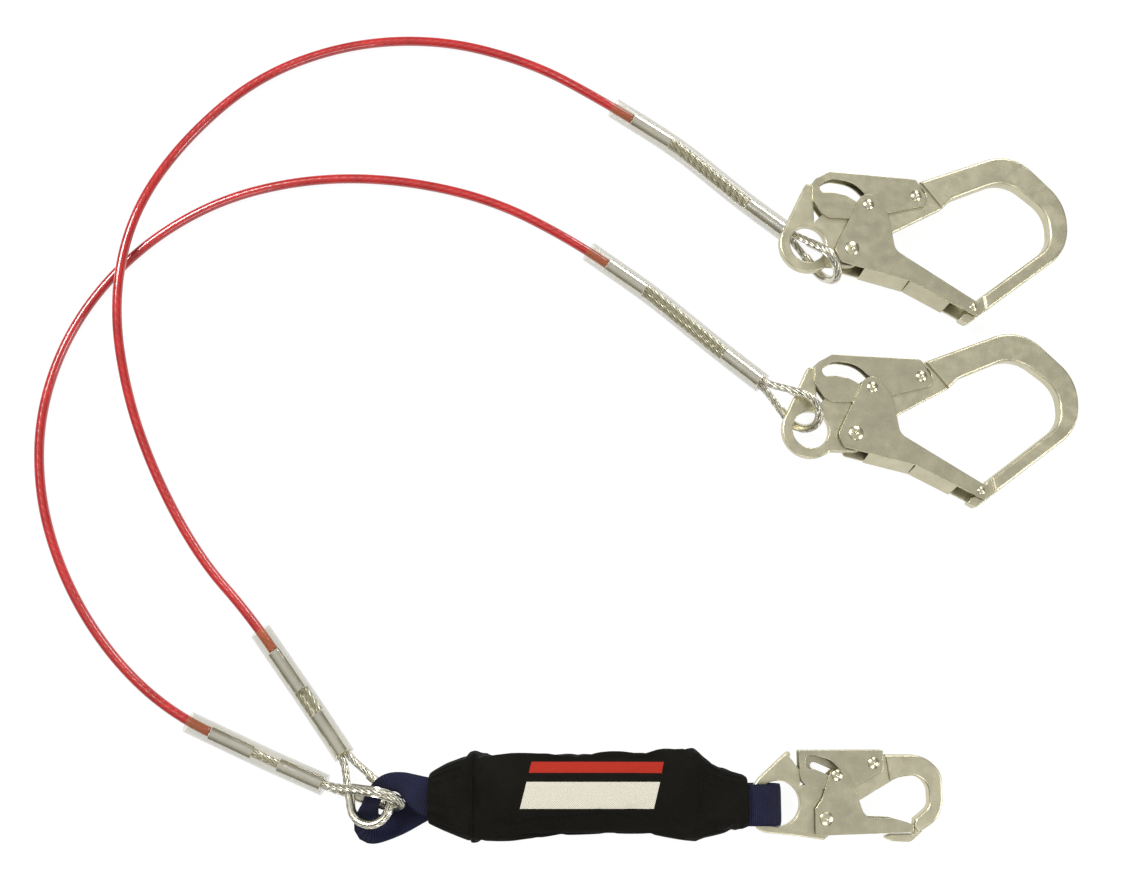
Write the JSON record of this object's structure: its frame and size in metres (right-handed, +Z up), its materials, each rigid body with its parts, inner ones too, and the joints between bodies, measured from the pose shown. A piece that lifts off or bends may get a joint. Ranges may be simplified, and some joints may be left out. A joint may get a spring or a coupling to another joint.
{
  "type": "shock absorbing lanyard",
  "caption": "Twin-leg wire-rope shock absorbing lanyard: fabric shock pack with a small harness snap hook and two large double-locking anchor hooks.",
  "frame": {"origin": "on the surface the lanyard lies on, under the middle of the hooks and the pack together", "axes": "+X along the shock pack towards the harness hook, +Z up from the surface, +Y from the pack towards the anchor hooks"},
  "size_m": [0.8109, 0.6352, 0.043],
  "materials": {
    "cover_nylon": "coarse woven nylon, brown-black",
    "navy_web": "ribbed navy polyester webbing",
    "tear_web": "natural tear webbing",
    "strap_web": "black webbing",
    "wrap_film": "clear shrink film",
    "closure": "hook and loop strip",
    "red_jacket": "deep red vinyl jacket, slightly translucent",
    "bare_rope": "galvanised wire rope",
    "thimble_steel": "zinc-plated pressed steel",
    "ferrule_aluminium": "bright swaged aluminium",
    "clear_sleeve": "clear vinyl tube",
    "forged_steel": "forged, zinc plated",
    "pressed_steel": "pressed, zinc plated",
    "rivet_steel": "zinc plated",
    "spring_wire": "spring steel wire"
  },
  "bodies": {
    "pack_and_legs": {"pack_cover": "cover_nylon", "tear_webbing": "tear_web", "inner_wrap": "wrap_film", "backup_strap": "strap_web", "cover_closure_strip": "closure", "cable_end_web_loop": "navy_web", "hook_end_web_loop": "navy_web", "leg_1_cable": "red_jacket", "leg_1_pack_eye_rope": "bare_rope", "leg_1_pack_thimble": "thimble_steel", "leg_1_pack_ferrule_cable_side": "ferrule_aluminium", "leg_1_pack_ferrule_eye_side": "ferrule_aluminium", "leg_1_pack_sleeve": "clear_sleeve", "leg_1_hook_eye_rope": "bare_rope", "leg_1_hook_thimble": "thimble_steel", "leg_1_hook_ferrule_cable_side": "ferrule_aluminium", "leg_1_hook_ferrule_eye_side": "ferrule_aluminium", "leg_1_hook_sleeve": "clear_sleeve", "leg_2_cable": "red_jacket", "leg_2_pack_eye_rope": "bare_rope", "leg_2_pack_thimble": "thimble_steel", "leg_2_pack_ferrule_cable_side": "ferrule_aluminium", "leg_2_pack_ferrule_eye_side": "ferrule_aluminium", "leg_2_pack_sleeve": "clear_sleeve", "leg_2_hook_eye_rope": "bare_rope", "leg_2_hook_thimble": "thimble_steel", "leg_2_hook_ferrule_cable_side": "ferrule_aluminium", "leg_2_hook_ferrule_eye_side": "ferrule_aluminium", "leg_2_hook_sleeve": "clear_sleeve"},
    "anchor_hook_1": {"anchor_hook_1_hook_body": "forged_steel", "anchor_hook_1_gate_pivot_rivet": "rivet_steel", "anchor_hook_1_lock_pivot_rivet": "rivet_steel", "anchor_hook_1_gate_spring": "spring_wire", "anchor_hook_1_lock_spring": "spring_wire"},
    "anchor_hook_1_gate": {"anchor_hook_1_gate": "pressed_steel", "anchor_hook_1_stop_rivet": "rivet_steel", "anchor_hook_1_nose_pin": "rivet_steel"},
    "anchor_hook_1_lock": {"anchor_hook_1_lock_lever": "pressed_steel"},
    "anchor_hook_2": {"anchor_hook_2_hook_body": "forged_steel", "anchor_hook_2_gate_pivot_rivet": "rivet_steel", "anchor_hook_2_lock_pivot_rivet": "rivet_steel", "anchor_hook_2_gate_spring": "spring_wire", "anchor_hook_2_lock_spring": "spring_wire"},
    "anchor_hook_2_gate": {"anchor_hook_2_gate": "pressed_steel", "anchor_hook_2_stop_rivet": "rivet_steel", "anchor_hook_2_nose_pin": "rivet_steel"},
    "anchor_hook_2_lock": {"anchor_hook_2_lock_lever": "pressed_steel"},
    "harness_hook": {"harness_hook_hook_body": "forged_steel", "harness_hook_gate_pivot_rivet": "rivet_steel", "harness_hook_lock_pivot_rivet": "rivet_steel", "harness_hook_gate_spring": "spring_wire", "harness_hook_lock_spring": "spring_wire"},
    "harness_hook_gate": {"harness_hook_gate": "pressed_steel", "harness_hook_stop_rivet": "rivet_steel"},
    "harness_hook_lock": {"harness_hook_lock_lever": "pressed_steel"}
  },
  "joints": [
    {"name": "anchor_hook_1_swing", "type": "hinge", "parent": "pack_and_legs", "child": "anchor_hook_1", "pos_m": [0.067, 0.19, 0.028], "axis": [0.1045, 0.0009, 0.9945], "range_deg": [0, 25]},
    {"name": "anchor_hook_1_gate_hinge", "type": "hinge", "parent": "anchor_hook_1", "child": "anchor_hook_1_gate", "pos_m": [0.10055, 0.18649, 0.02448], "axis": [0.1045, 0.0009, 0.9945], "range_deg": [0, 36], "stiffness_Nm_per_rad": 0.12, "springref_deg": -28.65},
    {"name": "anchor_hook_1_lock_hinge", "type": "hinge", "parent": "anchor_hook_1", "child": "anchor_hook_1_lock", "pos_m": [0.15396, 0.23136, 0.01882], "axis": [0.1045, 0.0009, 0.9945], "range_deg": [0, 10.81], "stiffness_Nm_per_rad": 0.05, "springref_deg": -17.19},
    {"name": "anchor_hook_2_swing", "type": "hinge", "parent": "pack_and_legs", "child": "anchor_hook_2", "pos_m": [0.0672, 0.046, 0.0178], "axis": [0.0558, 0.001, 0.9984], "range_deg": [-18, 0]},
    {"name": "anchor_hook_2_gate_hinge", "type": "hinge", "parent": "anchor_hook_2", "child": "anchor_hook_2_gate", "pos_m": [0.10091, 0.04279, 0.01592], "axis": [0.0558, 0.001, 0.9984], "range_deg": [0, 36], "stiffness_Nm_per_rad": 0.12, "springref_deg": -28.65},
    {"name": "anchor_hook_2_lock_hinge", "type": "hinge", "parent": "anchor_hook_2", "child": "anchor_hook_2_lock", "pos_m": [0.15414, 0.08812, 0.0129], "axis": [0.0558, 0.001, 0.9984], "range_deg": [0, 10.81], "stiffness_Nm_per_rad": 0.05, "springref_deg": -17.19},
    {"name": "harness_hook_swing", "type": "hinge", "parent": "pack_and_legs", "child": "harness_hook", "pos_m": [0.0159, -0.2334, 0.0143], "axis": [0, -1, 0], "range_deg": [0, 34], "deforming": ["hook_end_web_loop"]},
    {"name": "harness_hook_gate_hinge", "type": "hinge", "parent": "harness_hook", "child": "harness_hook_gate", "pos_m": [0.07082, -0.2441, 0.01131], "axis": [0.0698, 0, 0.9976], "range_deg": [0, 26], "stiffness_Nm_per_rad": 0.05, "springref_deg": -28.65},
    {"name": "harness_hook_lock_hinge", "type": "hinge", "parent": "harness_hook", "child": "harness_hook_lock", "pos_m": [0.10802, -0.2043, 0.00871], "axis": [0.0698, 0, 0.9976], "range_deg": [0, 7.81], "stiffness_Nm_per_rad": 0.02, "springref_deg": -17.19}
  ],
  "couplings": [
    {"joint": "anchor_hook_1_lock_hinge", "follows": "anchor_hook_1_gate_hinge", "ratio": 0.3},
    {"joint": "anchor_hook_2_lock_hinge", "follows": "anchor_hook_2_gate_hinge", "ratio": 0.3},
    {"joint": "harness_hook_lock_hinge", "follows": "harness_hook_gate_hinge", "ratio": 0.3}
  ]
}
